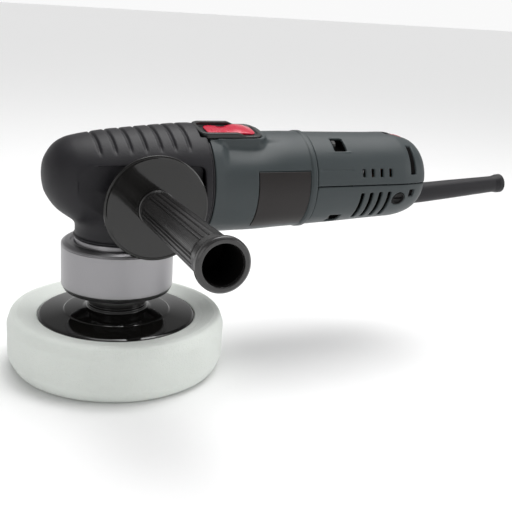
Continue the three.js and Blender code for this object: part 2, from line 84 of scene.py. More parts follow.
SLEEVE_X, SLEEVE_Z, SLEEVE_TILT = 246, 115.9, math.radians(4.4)
BRUSH_X, BRUSH_ANGLE = 206.8, -22
SEAT_TOP = 147  # upper edge of the gear head's flat sides
NECK_BORE, NECK_TOP = 25.9, 128  # the boot's neck round the spindle
SKIN = 3.2  # thickness of the rubber boot
WALL = 3  # thickness of the plastic shells
SEAM = 0.7  # width of the joint between the two rear covers
SHELL_GRID = 0.75  # cell size of the big shells' meshes
PAINTED_SHADE_DEPTH = 1.5  # faces deeper than this in the rear covers get painted shade, the near-black shadow material

# Oval sections along the motor axis: x, centre z, half width, half height
BOOT = [
    (-52.1, 136, 0.5, 0.5), (-50.8, 136, 9.5, 10), (-48.6, 135.8, 15.2, 14.6), (-42.6, 135.4, 23.4, 22.2),
    (-36, 134.6, 28.2, 26.6), (-29.4, 133.3, 31.3, 29.6), (-20, 132, 33.8, 32.6), (-9.3, 131.3, 35.4, 34.9),
    (4.3, 131, 36.6, 36.5), (18.2, 131, 37.7, 37.8), (32.3, 131, 38.4, 39), (46.7, 131, 38.8, 39.8),
    (BOOT_END, 131, 38.6, 39.6),
]
HOUSING = [
    (HOUSING_START, 130.6, 37.3, 37.6), (66, 130.2, 36.2, 37), (80, 129.6, 35.6, 36.2),
    (97, 129.3, 35.2, 35.8), (116, 129.8, 35, 35.3), (131.2, 130, 34.9, 35), (131.8, 130, 35.5, 35.6),
    (135.2, 130, 35.5, 35.6), (135.8, 130, 33.2, 33.2), (HOUSING_END, 130, 33, 33),
]
HOUSING_CAVITY = [(50, 130.6, 34.3, 34.6), (66, 130.2, 33.2, 34), (97, 129.3, 32.2, 32.6),
                  (131, 130, 31.6, 31.8), (145, 130, 29.8, 29.8)]
COVER = [
    (COVER_START, 130.1, 34.5, 34.5), (163, 130.6, 33.8, 33.8), (190, 131.3, 33.1, 33),
    (209, 131.8, 32.7, 32.6), (218, 131.4, 31.5, 31), (225, 131.4, 29.7, 28.7), (230, 131.6, 26.7, 25.3),
    (232.6, 131.8, 22.6, 21.2), (COVER_END, 132, 16.6, 15.4),
]


# ---- Fields: negative inside the material, in millimetres ----
def smooth_max(a, b, k=0.8):
    h = np.clip(0.5 + 0.5 * (a - b) / k, 0, 1)
    return b + (a - b) * h + k * h * (1 - h)


def smooth_min(a, b, k=0.8):
    return -smooth_max(-a, -b, k)


def step(low, high, value):
    t = np.clip((value - low) / (high - low), 0, 1)
    return t * t * (3 - 2 * t)


def smooth_table(xs, ys, x):
    """A smooth curve through the points, with no overshoot."""
    xs, ys = np.asarray(xs, float), np.asarray(ys, float)
    slope = np.diff(ys) / np.diff(xs)
    left, right = slope[:-1], slope[1:]
    product = left * right
    tangent = np.zeros_like(ys)
    tangent[0], tangent[-1] = slope[0], slope[-1]
    tangent[1:-1] = np.where(product > 0, 2 * product / np.where(product > 0, left + right, 1), 0)
    i = np.clip(np.searchsorted(xs, x) - 1, 0, len(xs) - 2)
    width = xs[i + 1] - xs[i]
    t = np.clip((x - xs[i]) / width, 0, 1)
    return (ys[i] * (2 * t ** 3 - 3 * t ** 2 + 1) + ys[i + 1] * (3 * t ** 2 - 2 * t ** 3)
            + width * (tangent[i] * (t ** 3 - 2 * t ** 2 + t) + tangent[i + 1] * (t ** 3 - t ** 2)))


def oval(x, y, z, sections, grow=0.0, shift=0.0):
    """The skin through the sections, with flat ends. The squares are what is smoothed, so a nose is round."""
    xs, centres, wide, tall = (np.array(column) for column in zip(*sections))
    line = np.unique(x)
    rows = [smooth_table(xs + shift, column, line) for column in (centres, wide ** 2, tall ** 2)]
    centre, wide_at, tall_at = (np.interp(x, line, row) for row in rows)
    wide_at = np.maximum(np.sqrt(wide_at) + grow, 0.2)
    tall_at = np.maximum(np.sqrt(tall_at) + grow, 0.2)
    ratio = np.sqrt((y / wide_at) ** 2 + ((z - centre) / tall_at) ** 2)
    side = (ratio - 1) * (wide_at + tall_at) / 2
    return np.maximum(side, np.maximum(xs[0] + shift - grow - x, x - xs[-1] - grow))


def block(x, y, z, low, high, k=0.8):
    result = None
    for value, a, b in zip((x, y, z), low, high):
        part = np.abs(value - (a + b) / 2) - (b - a) / 2
        result = part if result is None else smooth_max(result, part, k)
    return result


def rounded_plate(x, y, x0, x1, half, corner):
    """Distance to a rounded rectangle, seen from above."""
    dx = np.abs(x - (x0 + x1) / 2) - (x1 - x0) / 2 + corner
    dy = np.abs(y) - half + corner
    outside = np.hypot(np.maximum(dx, 0), np.maximum(dy, 0))
    return outside + np.minimum(np.maximum(dx, dy), 0) - corner


def about_motor(y, z, degrees):
    """Distance out from the motor axis, and across, at an angle up from -Y."""
    a = math.radians(degrees)
    return -y * math.cos(a) + (z - MOTOR_Z) * math.sin(a), y * math.sin(a) + (z - MOTOR_Z) * math.cos(a)


def in_switch_frame(y, z):
    c, s = math.cos(SWITCH_TILT), math.sin(SWITCH_TILT)
    return y * c + (z - MOTOR_Z) * s, -y * s + (z - MOTOR_Z) * c + MOTOR_Z


def along_sleeve(x, y, z):
    """Distance from the cord sleeve's axis, and distance along it."""
    c, s = math.cos(SLEEVE_TILT), math.sin(SLEEVE_TILT)
    along = (x - SLEEVE_X) * c + (z - SLEEVE_Z) * s
    across = -(x - SLEEVE_X) * s + (z - SLEEVE_Z) * c
    return np.hypot(y, across), along


# ---- Meshes ----
def field_mesh(field, low, high, size):
    """Vertices and quads of the surface where the field is zero, on a grid of that size."""
    low = np.asarray(low, float) - 2 * size
    counts = np.ceil((np.asarray(high, float) + 2 * size - low) / size).astype(int) + 1
    axes = [low[i] + size * np.arange(counts[i]) for i in range(3)]
    value = field(*np.meshgrid(*axes, indexing="ij"))
    inside = value < 0
    corners = [(i, j, k) for i in (0, 1) for j in (0, 1) for k in (0, 1)]

    def at(array, corner):
        return array[tuple(slice(c, counts[i] - 1 + c) for i, c in enumerate(corner))]

    filled = sum(at(inside, corner).astype(np.int8) for corner in corners)
    crossed = (filled > 0) & (filled < 8)
    cells = np.argwhere(crossed)
    number = np.full(crossed.shape, -1)
    number[crossed] = np.arange(len(cells))
    total, hits = np.zeros((len(cells), 3)), np.zeros(len(cells))
    for axis in range(3):
        for corner in corners:
            if corner[axis]:
                continue
            far = tuple(1 if i == axis else c for i, c in enumerate(corner))
            a, b = at(value, corner)[crossed], at(value, far)[crossed]
            cross = (a < 0) != (b < 0)
            place = np.tile(np.array(corner, float), (len(cells), 1))
            place[:, axis] = np.where(cross, a / np.where(cross, a - b, 1), 0)
            total[cross] += place[cross]
            hits += cross
    points = low + size * (cells + total / hits[:, None])
    quads = []
    for axis in range(3):
        u, v = (axis + 1) % 3, (axis + 2) % 3
        near = inside.take(range(counts[axis] - 1), axis)
        far = inside.take(range(1, counts[axis]), axis)
        edge = np.argwhere(near != far)
        du, dv = np.eye(3, dtype=int)[u], np.eye(3, dtype=int)[v]
        quad = np.stack([number[tuple(c.T)] for c in (edge - du - dv, edge - dv, edge, edge - du)], 1)
        outward = near[tuple(edge.T)]
        quad[~outward] = quad[~outward][:, ::-1]
        quads.append(quad)
    return settle(points, field, size), np.concatenate(quads)


def settle(points, field, size, rounds=3):
    """Moves the points onto the field's zero surface, by at most a third of a cell a round."""
    small = size * 0.05
    for _ in range(rounds):
        value = field(*points.T)
        slope = np.stack([(field(*(points + small * direction).T) - value) / small
                          for direction in np.eye(3)], 1)
        move = slope * (value / np.maximum((slope ** 2).sum(1), 0.1))[:, None]
        length = np.linalg.norm(move, axis=1, keepdims=True)
        points = points - move * np.minimum(1, size / 3 / np.maximum(length, 1e-9))
    return points


def revolved(profile, sides, change=None):
    """A turned shape about Z. The profile closes on itself, or starts and ends on the axis.

    change(radius, height, angle) gives the radius and height of a point that isn't plainly turned.
    """
    closed = profile[0][0] > 0
    angle = 2 * np.pi * np.arange(sides) / sides
    rings, points = [], []
    for r, h in profile:
        if r <= 0:
            rings.append([len(points)] * sides)
            points.append((0, 0, h))
            continue
        rr, hh = (np.full(sides, r), np.full(sides, h)) if change is None else change(r, h, angle)
        rings.append(list(range(len(points), len(points) + sides)))
        points += list(zip(rr * np.cos(angle), rr * np.sin(angle), hh))
    faces = []
    for i in range(len(rings) if closed else len(rings) - 1):
        a, b = rings[i], rings[(i + 1) % len(rings)]
        for j in range(sides):
            k = (j + 1) % sides
            face = [a[j], a[k], b[k], b[j]]
            faces.append([v for n, v in enumerate(face) if v not in face[:n]])
    return np.array(points, float), faces


def filleted(points, closed=True, pieces=5):
    """The profile (radius, height, corner radius), with its corners rounded."""
    result = []
    count = len(points)
    for i, (r, h, corner) in enumerate(points):
        if corner <= 0 or (not closed and i in (0, count - 1)):
            result.append((r, h))
            continue
        here = np.array([r, h])
        before = np.array(points[i - 1][:2]) - here
        after = np.array(points[(i + 1) % count][:2]) - here
        lengths = np.linalg.norm(before), np.linalg.norm(after)
        before, after = before / lengths[0], after / lengths[1]
        half = math.acos(np.clip(before @ after, -1, 1)) / 2
        if half > math.radians(88):
            result.append((r, h))
            continue
        reach = min(corner / math.tan(half), 0.45 * min(lengths))
        start, end = here + before * reach, here + after * reach
        for t in np.linspace(0, 1, pieces):
            result.append(tuple((1 - t) ** 2 * start + 2 * t * (1 - t) * here + t * t * end))
    return result


def refined(profile, longest, closed=True):
    """The same profile with its long edges split."""
    result = []
    ends = list(zip(profile, profile[1:] + profile[:1] if closed else profile[1:]))
    for (r0, h0), (r1, h1) in ends:
        pieces = max(1, math.ceil(math.hypot(r1 - r0, h1 - h0) / longest))
        result += [(r0 + (r1 - r0) * n / pieces, h0 + (h1 - h0) * n / pieces) for n in range(pieces)]
    return result if closed else result + [profile[-1]]


def placed(points, axis="Z", at=(0, 0, 0)):
    """Points of a shape turned about Z, moved so that its axis points along axis from that place."""
    turn = {
        "Z": Matrix.Identity(3),
        "-Y": Matrix.Rotation(math.pi / 2, 3, "X"),
        "Y": Matrix.Rotation(-math.pi / 2, 3, "X"),
        "X": Matrix.Rotation(math.pi / 2, 3, "Y"),
        "sleeve": Matrix.Rotation(math.pi / 2 - SLEEVE_TILT, 3, "Y"),
    }[axis]
    return points @ np.array(turn).T + np.array(at, float)


def curved_plate(x0, x1, low, high, radius_at, thickness, pieces=(28, 40)):
    """A plate that lies on the motor's shells, between two angles up from -Y. Its edges are rounded off."""
    xs = np.linspace(x0, x1, pieces[0] + 1)
    angles = np.radians(np.linspace(low, high, pieces[1] + 1))
    layers = []
    for depth, inset in ((0.0, 0.25), (0.25, 0.0), (thickness, 0.0)):
        x = np.clip(xs, x0 + inset, x1 - inset)
        trim = inset / 34
        a = np.clip(angles, angles.min() + trim, angles.max() - trim)
        grid_x, grid_a = np.meshgrid(x, a, indexing="ij")
        radius = radius_at(grid_x, grid_a) - depth
        layers.append(np.stack([grid_x, -radius * np.cos(grid_a), MOTOR_Z + radius * np.sin(grid_a)], -1))
    points = np.concatenate([layer.reshape(-1, 3) for layer in layers])
    rows, columns = len(xs), len(angles)
    size = rows * columns

    def vertex(layer, i, j):
        return layer * size + i * columns + j

    faces = []
    for i in range(rows - 1):
        for j in range(columns - 1):
            quad = [vertex(0, i, j), vertex(0, i + 1, j), vertex(0, i + 1, j + 1), vertex(0, i, j + 1)]
            faces.append(quad)
            faces.append([v + 2 * size for v in reversed(quad)])
    rim = [(i, 0) for i in range(rows)] + [(rows - 1, j) for j in range(1, columns)]
    rim += [(i, columns - 1) for i in range(rows - 2, -1, -1)] + [(0, j) for j in range(columns - 2, 0, -1)]
    for layer in (0, 1):
        for (i, j), (m, n) in zip(rim, rim[1:] + rim[:1]):
            faces.append([vertex(layer, m, n), vertex(layer, i, j), vertex(layer + 1, i, j),
                          vertex(layer + 1, m, n)])
    return points, faces


def shell_radius(sections, grow=0.0):
    """Radius from the motor axis to the skin through the sections, at x and an angle up from -Y."""
    xs, centres, wide, tall = (np.array(column) for column in zip(*sections))

    def radius_at(x, angle):
        centre = smooth_table(xs, centres, x) - MOTOR_Z
        a = np.sqrt(smooth_table(xs, wide ** 2, x)) + grow
        b = np.sqrt(smooth_table(xs, tall ** 2, x)) + grow
        c, s = np.cos(angle) / a, np.sin(angle) / b
        offset = centre / b
        total = c * c + s * s
        return (s * offset + np.sqrt((s * offset) ** 2 - total * (offset ** 2 - 1))) / total

    return radius_at


def piece(name, shape, material, body, replaced=(), sharp=None):
    """A finished mesh object that rides on a body and may stand for CAD nodes."""
    points, faces = shape
    mesh = bpy.data.meshes.new(name)
    mesh.from_pydata((np.asarray(points) * MM).tolist(), [], [list(map(int, face)) for face in faces])
    mesh.validate()
    mesh.polygons.foreach_set("use_smooth", [True] * len(mesh.polygons))
    if sharp is not None:
        mesh.set_sharp_from_angle(angle=math.radians(sharp))
    mesh.materials.append(material)
    obj = bpy.data.objects.new(name, mesh)
    bpy.context.scene.collection.objects.link(obj)
    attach(obj, body)
    if replaced:
        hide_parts(*replaced)
    return obj


# ---- Materials ----
def material(name, base, roughness, metallic=0.0, spread=0.0, mottle=0.0, grain=0.0, grain_scale=900,
             specular=0.5, coat=0.0, sheen=0.0, streaks=0.0):
    """A moulded, cast or machined surface: mottled colour, uneven roughness and a fine grain."""
    made = bpy.data.materials.new(name)
    made.use_nodes = True
    nodes, links = made.node_tree.nodes, made.node_tree.links
    shader = nodes["Principled BSDF"]
    shader.inputs["Metallic"].default_value = metallic
    shader.inputs["Specular IOR Level"].default_value = specular
    shader.inputs["Coat Weight"].default_value = coat
    shader.inputs["Coat Roughness"].default_value = 0.08
    shader.inputs["Sheen Weight"].default_value = sheen
    place = nodes.new("ShaderNodeTexCoord")
    broad = nodes.new("ShaderNodeTexNoise")
    broad.inputs["Scale"].default_value = 45
    broad.inputs["Detail"].default_value = 5
    links.new(place.outputs["Object"], broad.inputs["Vector"])
    colour = nodes.new("ShaderNodeMixRGB")
    colour.inputs["Color1"].default_value = (*[c * (1 - mottle) for c in base], 1)
    colour.inputs["Color2"].default_value = (*[min(1, c * (1 + mottle)) for c in base], 1)
    links.new(broad.outputs["Fac"], colour.inputs["Fac"])
    links.new(colour.outputs["Color"], shader.inputs["Base Color"])
    fine = nodes.new("ShaderNodeTexNoise")
    fine.inputs["Scale"].default_value = grain_scale
    fine.inputs["Detail"].default_value = 3
    if streaks:
        stretch = nodes.new("ShaderNodeMapping")
        stretch.inputs["Scale"].default_value = (1, 1, streaks)
        links.new(place.outputs["Object"], stretch.inputs["Vector"])
        links.new(stretch.outputs["Vector"], fine.inputs["Vector"])
    else:
        links.new(place.outputs["Object"], fine.inputs["Vector"])
    uneven = nodes.new("ShaderNodeMapRange")
    uneven.inputs["To Min"].default_value = max(0.02, roughness - spread)
    uneven.inputs["To Max"].default_value = min(1, roughness + spread)
    links.new(fine.outputs["Fac"] if streaks else broad.outputs["Fac"], uneven.inputs["Value"])
    links.new(uneven.outputs["Result"], shader.inputs["Roughness"])
    bump = nodes.new("ShaderNodeBump")
    bump.inputs["Strength"].default_value = grain
    bump.inputs["Distance"].default_value = 0.0003
    links.new(fine.outputs["Fac"], bump.inputs["Height"])
    links.new(bump.outputs["Normal"], shader.inputs["Normal"])
    return made


def foam_material():
    """Open-cell foam: small pits, a soft mottle and a faint green-grey tint."""
    made = material("foam", (0.77, 0.805, 0.765), 0.95, mottle=0.05, spread=0.03, sheen=0.25)
    nodes, links = made.node_tree.nodes, made.node_tree.links
    place = nodes["Texture Coordinate"]
    cells = nodes.new("ShaderNodeTexVoronoi")
    cells.inputs["Scale"].default_value = 1100
    links.new(place.outputs["Object"], cells.inputs["Vector"])
    pits = nodes.new("ShaderNodeBump")
    pits.inputs["Strength"].default_value = 0.45
    pits.inputs["Distance"].default_value = 0.0006
    links.new(cells.outputs["Distance"], pits.inputs["Height"])
    links.new(pits.outputs["Normal"], nodes["Principled BSDF"].inputs["Normal"])
    return made


def fabric_material():
    """Woven loop fabric: two crossing sets of threads."""
    made = material("loop_fabric", (0.05, 0.05, 0.055), 0.95, mottle=0.2, sheen=0.3)
    nodes, links = made.node_tree.nodes, made.node_tree.links
    place = nodes["Texture Coordinate"]
    weave = nodes.new("ShaderNodeMath")
    weave.operation = "MULTIPLY"
    for i, direction in enumerate(("X", "Y")):
        threads = nodes.new("ShaderNodeTexWave")
        threads.bands_direction = direction
        threads.inputs["Scale"].default_value = 260
        links.new(place.outputs["Object"], threads.inputs["Vector"])
        links.new(threads.outputs["Fac"], weave.inputs[i])
    bump = nodes.new("ShaderNodeBump")
    bump.inputs["Strength"].default_value = 0.6
    bump.inputs["Distance"].default_value = 0.0004
    links.new(weave.outputs["Value"], bump.inputs["Height"])
    links.new(bump.outputs["Normal"], nodes["Principled BSDF"].inputs["Normal"])
    return made


MATERIALS = {
    "foam": foam_material(),
    "loop_fabric": fabric_material(),
    "gloss_black": material("gloss_black", (0.008, 0.0075, 0.007), 0.07, spread=0.02, grain=0.003,
                            specular=0.55),
    "grip_black": material("grip_black", (0.019, 0.018, 0.018), 0.25, spread=0.04, grain=0.02,
                           specular=0.75),
    "matt_black": material("matt_black", (0.005, 0.005, 0.005), 0.6, spread=0.06, grain=0.1, specular=0.25),
    "steel": material("steel", (0.5, 0.51, 0.52), 0.32, 1, spread=0.1, mottle=0.06, grain=0.08, streaks=0.05),
    "cast_iron": material("cast_iron", (0.22, 0.22, 0.23), 0.55, 1, spread=0.12, mottle=0.15, grain=0.5),
    "cast_aluminium": material("cast_aluminium", (0.3, 0.295, 0.305), 0.34, 1, spread=0.06, mottle=0.05,
                               grain=0.16, grain_scale=1500),
    "rubber": material("rubber", (0.013, 0.0122, 0.0148), 0.5, spread=0.06, mottle=0.12, grain=0.3,
                       grain_scale=1300, specular=0.3),
    "grey_plastic": material("grey_plastic", (0.036, 0.046, 0.049), 0.46, spread=0.05, mottle=0.05,
                             grain=0.22, grain_scale=1500, specular=0.4),
    "panel_black": material("panel_black", (0.014, 0.011, 0.0105), 0.42, spread=0.04, mottle=0.08, grain=0.05,
                            specular=0.35),
    "black_plastic": material("black_plastic", (0.010, 0.011, 0.011), 0.32, spread=0.06, mottle=0.1,
                              grain=0.1),
    "red_plastic": material("red_plastic", (0.62, 0.008, 0.045), 0.24, spread=0.05, mottle=0.04, grain=0.03,
                            coat=0.3),
    "black_steel": material("black_steel", (0.06, 0.06, 0.06), 0.4, 1, spread=0.1, mottle=0.2, grain=0.1),
    "carbon": material("carbon", (0.02, 0.02, 0.02), 0.7, spread=0.1, mottle=0.3, grain=0.4),
    "copper": material("copper", (0.55, 0.2, 0.09), 0.35, 1, spread=0.1, mottle=0.12, grain=0.5,
                       streaks=0.08),
    # Near-black colour for painted shade: put on faces inside openings and hollows, and on sheets under slots.
    "shadow": material("shadow", (0.003, 0.0025, 0.0025), 0.9, spread=0.05, grain=0.2, specular=0.08),
    "circuit": material("circuit", (0.02, 0.11, 0.045), 0.45, spread=0.1, mottle=0.2, grain=0.2),
}


def finish_cad_nodes():
    """Every CAD node gets the procedural material of its slot in the record."""
    for row in frame["record"]["subparts"]:
        obj = frame["nodes"][row["node"]]
        obj.data.materials.clear()
        obj.data.materials.append(MATERIALS[row["material_slot"]])
        obj.data.polygons.foreach_set("use_smooth", [True] * len(obj.data.polygons))
        obj.data.set_sharp_from_angle(angle=math.radians(35))


# ---- Pad, backing plate and shroud ----
def foam_pad():
    def soft(r, h, angle):
        wave = 0.25 * np.sin(3 * angle + 1) + 0.15 * np.sin(7 * angle + h / 9) + 0.1 * np.sin(11 * angle)
        return r + np.where(r > PLATE_R + 3, wave * 0.7, 0) - 0.25, np.full_like(angle, h)

    floor = PLATE_Z - 2.2
    profile = filleted([
        (0, 0, 0), (71.5, 0, 6), (PAD_R, 9, 9), (PAD_R, 32, 7), (73.5, PAD_H, 5), (69, PAD_H + 0.3, 4),
        (PLATE_R + 6, 37.2, 4), (PLATE_R + 0.8, 36.6, 0.8), (PLATE_R + 0.7, PLATE_Z - 0.3, 0.3),
        (52.4, PLATE_Z - 0.3, 0.3), (52.4, floor, 0.3), (0, floor, 0),
    ], closed=False, pieces=8)
    points, faces = revolved(refined(profile, 4, closed=False), 160, soft)
    pad = piece("foam_pad_soft", (placed(points, at=(PAD_X, PAD_Y, 0)), faces), MATERIALS["foam"],
                "pad", ["foam_pad"])


def backing_plate():
    top, waist = 50.5, 45.2
    profile = filleted([
        (8.3, PLATE_Z, 0.3), (PLATE_R, PLATE_Z, 0.5), (PLATE_R, 36.7, 0.8), (53.4, 37.6, 1),
        (37.4, 39.6, 1.5),
        (36.6, 40.2, 0.8), (24, 41.4, 2), (21.2, 42.4, 0.8), (21.2, waist - 0.8, 0.7), (20.2, waist, 0.4),
        (20.2, waist + 0.8, 0.4), (20.8, waist + 1.2, 0.5), (20.8, top, 0.8), (4.3, top, 0.3),
        (4.3, 41.3, 0), (8.3, 41.3, 0),
    ])
    points, faces = revolved(refined(profile, 5), 128)
    piece("backing_plate_moulded", (placed(points, at=(PAD_X, PAD_Y, 0)), faces), MATERIALS["gloss_black"],
          "pad", ["backing_plate"], sharp=50)


def shroud():
    line = 86.6  # a fine turned line under the shoulder
    profile = filleted([
        (36, SHROUD_Z + 1.6, 0.3), (36.4, SHROUD_Z, 0.6), (37.4, SHROUD_Z + 0.4, 0.6),
        (SHROUD_R, SHROUD_Z + 3.6, 2), (SHROUD_R, line - 0.5, 0.1), (SHROUD_R - 0.35, line, 0.1),
        (SHROUD_R, line + 0.5, 0.1), (38.3, 88.2, 1), (36, 89.6, 1), (33, 89.8, 0.8), (32.2, 88.4, 0.5),
        (30.4, 88.4, 0.5), (29.9, 91.6, 1.2), (28, 94, 1), (27.4, 98.9, 0.3), (16.4, 98.9, 0.2),
        (16.4, 86.4, 0.2), (33.5, 86.4, 1), (36, 84, 1),
    ])
    shape = revolved(refined(profile, 6), 160)
    piece("shroud_turned", shape, MATERIALS["cast_aluminium"], "housing", ["shroud"],
          sharp=40)


# ---- Gear head ----
def boot_flat(x):
    """Half width between the flat sides under the handle seats. They are deepest at the nose."""
    return 28.7 + 2.8 * step(-12, 6, x)


def boot_grooves(x, y, z):
    """Depth of the finger grooves over the top. They fade out down the sides."""
    angle = np.degrees(np.arctan2(z - MOTOR_Z, np.abs(y)))
    depth = np.zeros_like(x)
    for start in (-20, -10, 0, 10, 20, 29.5, 39.5):
        centre = start + 0.035 * np.maximum(90 - angle, 0)
        depth = np.maximum(depth, np.exp(-((x - centre) / 0.95) ** 2))
    return 1.2 * depth * step(38, 50, angle)


def boot_field(x, y, z):
    from_spindle = np.hypot(x, y)
    radius = np.interp(z, [99, 104, 111, 124], [29.6, 29.9, 30.8, 33])
    head = oval(x, y, z, BOOT) + boot_grooves(x, y, z)
    head = smooth_max(head, x - BOOT_END, 0.6)
    side = block(x, np.abs(y), z, (-33.5, 0, 80), (50, 90, SEAT_TOP), 5)
    head = smooth_max(head, -np.maximum(side, boot_flat(x) - np.abs(y)), 1.1)
    head = smooth_max(head, -smooth_max(from_spindle - 41, z - BOOT_FLOOR, 1), 2)
    neck = smooth_max(smooth_max(from_spindle - radius, BOOT_FLOOR - z, 0.8), z - NECK_TOP)
    lip = smooth_max(np.hypot(from_spindle - 29.9, z - BOOT_FLOOR - 2.2) - 0.9, BOOT_FLOOR - z, 0.4)
    skin = smooth_min(smooth_min(head, neck, 4), lip, 0.8)
    flats = smooth_max(oval(x, y, z, BOOT, -SKIN), np.abs(y) - boot_flat(x) + SKIN - 1.8, 0.5)
    flats = np.where(z > SEAT_TOP + SKIN, oval(x, y, z, BOOT, -SKIN), flats)
    hollow = np.where(x > 50, oval(x, y, z, BOOT, -SKIN, 8), flats)
    hollow = np.minimum(hollow, np.maximum(from_spindle - NECK_BORE, z - NECK_TOP))
    seats = np.hypot(x - HANDLE_X, z - HANDLE_Z) - 11.2
    across, up = in_switch_frame(y, z)
    notch = block(x, across, up, (50.8, -14.6, 165.4), (70, 14.6, 190), 0.6)
    seats = np.maximum(seats, 24 - np.abs(y))
    return smooth_max(smooth_max(skin, -np.minimum(hollow, seats), 0.6), -notch, 0.6)


def gasket_field(x, y, z):
    """A ring between boot and housing. It stops below the switch's paddle, which slides over it."""
    across, up = in_switch_frame(y, z)
    ring = smooth_max(np.abs(np.hypot(y, z - MOTOR_Z + 0.2) - 35.2) - 2, np.abs(x - 56.2) - 0.7, 0.3)
    return smooth_max(ring, -block(x, across, up, (50, -16, 163), (62, 16, 180), 0.3), 0.3)


def gear_head():
    low, high = box_mm("gear_case_boot")
    piece("gear_case_boot_moulded", field_mesh(boot_field, low, high, SHELL_GRID), MATERIALS["rubber"],
          "housing", ["gear_case_boot"])
    piece("joint_gasket", field_mesh(gasket_field, (55.5, -37.3, 93.5), (56.9, 37.3, 168.1), 0.45),
          MATERIALS["rubber"], "housing")
    boss = filleted([(4.4, 36, 0.2), (4.4, 37.5, 0.6), (10.9, 37.5, 0.8), (10.9, 32.6, 0.2), (10.6, 32.6, 0),
                     (10.6, 37.2, 0.1), (5.2, 37.2, 0), (5.2, 36, 0)])
    points, faces = revolved(boss, 64)
    piece("right_handle_boss_face", (placed(points, "Y", (HANDLE_X, 0, HANDLE_Z)), [f[::-1] for f in faces]),
          MATERIALS["cast_aluminium"], "housing", sharp=40)


# ---- Motor housing, label panels and switch ----
PANEL = {"x0": 90, "x1": 130.4, "z0": 101.5, "z1": 142.2}


def thumb_scoop(x, y, z):
    """Depth of the hollows on both sides under the switch."""
    across, up = in_switch_frame(y, z)
    angle = np.degrees(np.arctan2(np.abs(across), up - MOTOR_Z))
    return (2.6 * step(66, 72.5, x + 0.08 * (angle - 20)) * (1 - step(84, 122, x))
            * step(14, 22, angle) * (1 - step(30, 66, angle)))


def housing_field(x, y, z):
    across, up = in_switch_frame(y, z)
    skin = oval(x, y, z, HOUSING)
    boss = smooth_max(rounded_plate(x, across, 57.8, 101, 15.4, 8), np.maximum(up - 166.4, 150 - up), 0.8)
    scoop = thumb_scoop(x, y, z)
    body = smooth_min(skin + scoop, boss, 3)
    body = smooth_max(body, HOUSING_START - x, 0.8)
    panel = block(x, np.abs(y), z, (PANEL["x0"], 15, PANEL["z0"]), (PANEL["x1"], 60, PANEL["z1"]), 0.5)
    body = smooth_max(body, -np.maximum(panel, -1.1 - skin), 0.4)
    body = smooth_max(body, -oval(x, y, z, HOUSING_CAVITY) - scoop, 0.5)
    for angle in (60, 120, 240, 300):
        out, side = about_motor(y, z, angle)
        rib = block(x, out, side, (112, 28.1, -2.8), (130, 33.6, 2.8), 0.5)
        hole = np.maximum(np.hypot(out - 30.2, side) - 2.2, 108 - x)
        body = smooth_max(np.minimum(body, rib), -hole, 0.3)
    seat = np.maximum(rounded_plate(x, across, 50.6, 98.4, 14.4, 7.4), 165.5 - up)
    stem = block(x, across, up, (67.5, -4.6, 155), (80.8, 4.6, 175), 0.3)
    rod = block(x, across, up, (130, -4.5, 157), (145, 4.5, 162), 0.3)
    return smooth_max(body, -np.minimum(np.minimum(seat, stem), rod), 0.4)


def bezel_field(x, y, z):
    """A collar that stands up in front and drops behind the thumb."""
    across, up = in_switch_frame(y, z)
    top = 169.8 - 2.2 * step(78, 85, x)
    rim = smooth_max(rounded_plate(x, across, 51, 98, 14, 7), np.maximum(up - top, 165.8 - up), 0.9)
    well = smooth_max(rounded_plate(x, across, 54, 95.4, 11, 5), 167 - up, 0.5)
    stem = block(x, across, up, (67.5, -4.6, 160), (80.8, 4.6, 172), 0.3)
    return smooth_max(rim, -np.minimum(well, stem), 0.7)


def slider_field(x, y, z):
    """The paddle: a ribbed bump in front and a ramp behind."""
    across, up = in_switch_frame(y, z)
    heights = [(58.4, 167.9), (61, 168.4), (64, 168.6), (68, 168.4), (72, 167.9), (75, 168), (79, 168.9),
               (83, 169.5), (88, 169.2), (92, 168.3), (94.4, 167.7)]
    top = smooth_table(*zip(*heights), x) - 0.008 * across ** 2
    top = top - 0.22 * np.maximum(np.cos(2 * np.pi * x / 2.4), 0) * (step(60, 61, x) - step(69, 70, x))
    paddle = smooth_max(rounded_plate(x, across, 58.4, 94.4, 9.6, 5), np.maximum(up - top, 167.3 - up), 0.8)
    stem = block(x, across, up, (73.6, -4, 161.5), (79.6, 4, 168), 0.3)
    return np.minimum(paddle, stem)


def motor_housing():
    low, high = box_mm("motor_housing")
    piece("motor_housing_moulded", field_mesh(housing_field, low, high, SHELL_GRID),
          MATERIALS["grey_plastic"], "housing", ["motor_housing"])
    radius = shell_radius(HOUSING, 0.1)
    low_angle = math.degrees(math.asin((PANEL["z0"] + 0.4 - MOTOR_Z) / 35))
    high_angle = math.degrees(math.asin((PANEL["z1"] - 0.4 - MOTOR_Z) / 35))
    for name, start, end in (("left", low_angle, high_angle), ("right", 180 - low_angle, 180 - high_angle)):
        points, faces = curved_plate(PANEL["x0"] + 0.4, PANEL["x1"] - 0.4, start, end, radius, 0.9)
        if name == "right":
            faces = [face[::-1] for face in faces]
        piece(f"side_panel_{name}_plate", (points, faces), MATERIALS["panel_black"], "housing",
              [f"side_panel_{name}"], sharp=40)
    low, high = box_mm("switch_bezel")
    piece("switch_bezel_moulded", field_mesh(bezel_field, low, high, 0.5), MATERIALS["black_plastic"],
          "housing", ["switch_bezel"])
    low, high = box_mm("switch_slider")
    piece("switch_slider_moulded", field_mesh(slider_field, low, high, 0.4), MATERIALS["red_plastic"],
          "switch", ["switch_slider"])


# ---- Rear covers ----
VENT_ANGLES = {"slot": 15, "louvre": -33}


